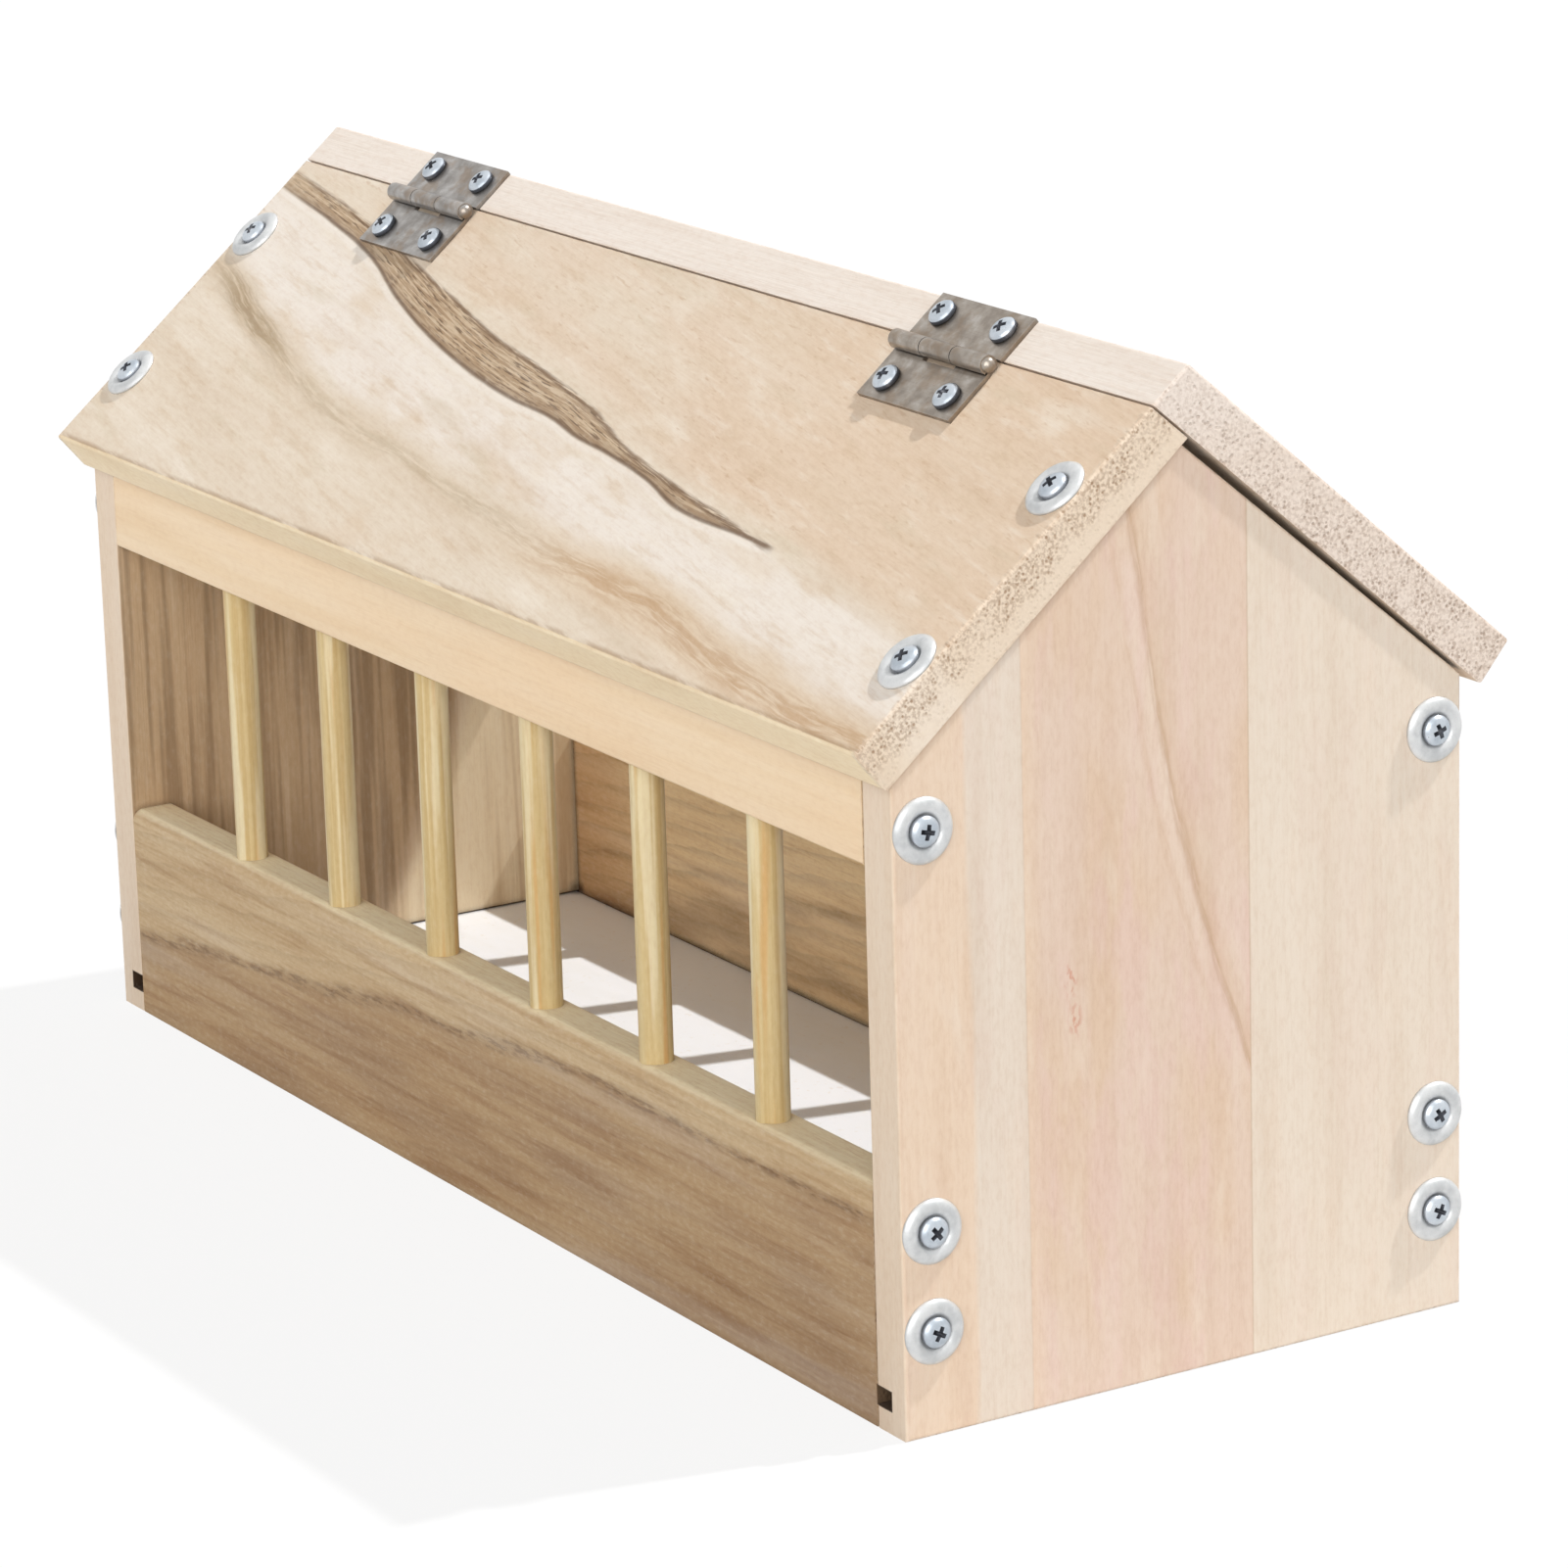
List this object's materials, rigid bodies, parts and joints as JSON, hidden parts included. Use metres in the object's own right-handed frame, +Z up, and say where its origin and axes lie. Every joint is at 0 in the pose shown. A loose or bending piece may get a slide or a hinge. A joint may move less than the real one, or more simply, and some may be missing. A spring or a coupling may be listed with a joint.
{
  "type": "quail feeder",
  "caption": "House-shaped wooden feeder with round bars along both long sides, a thin white floor, a fixed front roof slope and a rear roof slope hinged at the ridge as a lid.",
  "frame": {"origin": "on the ground, under the middle of the outline", "axes": "+X along the ridge to the right end, +Y from the front bars to the back bars, +Z up"},
  "size_m": [0.3992, 0.1714, 0.23],
  "materials": {
    "panel_wood": "bare sawn wood",
    "board_wood": "bare wood",
    "rail_wood": "bare wood",
    "bar_wood": "smooth turned wood",
    "roof_wood": "bare sawn wood",
    "floor_white": "white faced board",
    "hinge_steel": "dull plated",
    "screw_zinc": "zinc plated",
    "washer_zinc": "zinc plated"
  },
  "bodies": {
    "house": {"back_bar_1": "bar_wood", "back_bar_2": "bar_wood", "back_bar_3": "bar_wood", "back_bar_4": "bar_wood", "back_bar_5": "bar_wood", "back_bar_6": "bar_wood", "back_board": "board_wood", "back_rail": "rail_wood", "fixed_leaf_screws": "screw_zinc", "floor_panel": "floor_white", "front_bar_1": "bar_wood", "front_bar_2": "bar_wood", "front_bar_3": "bar_wood", "front_bar_4": "bar_wood", "front_bar_5": "bar_wood", "front_bar_6": "bar_wood", "front_board": "board_wood", "front_rail": "rail_wood", "front_roof_panel": "roof_wood", "left_end_panel": "panel_wood", "left_end_screws": "screw_zinc", "left_end_washers": "washer_zinc", "left_hinge_fixed_leaf": "hinge_steel", "left_hinge_pin": "hinge_steel", "right_end_panel": "panel_wood", "right_end_screws": "screw_zinc", "right_end_washers": "washer_zinc", "right_hinge_fixed_leaf": "hinge_steel", "right_hinge_pin": "hinge_steel", "roof_screws": "screw_zinc", "roof_washers": "washer_zinc"},
    "lid": {"rear_roof_lid": "roof_wood", "left_hinge_lid_leaf": "hinge_steel", "right_hinge_lid_leaf": "hinge_steel", "lid_leaf_screws": "screw_zinc"}
  },
  "joints": [
    {"name": "lid_hinge", "type": "hinge", "parent": "house", "child": "lid", "pos_m": [0, -0.01319, 0.22114], "axis": [1, 0, 0], "range_deg": [0, 165]}
  ]
}
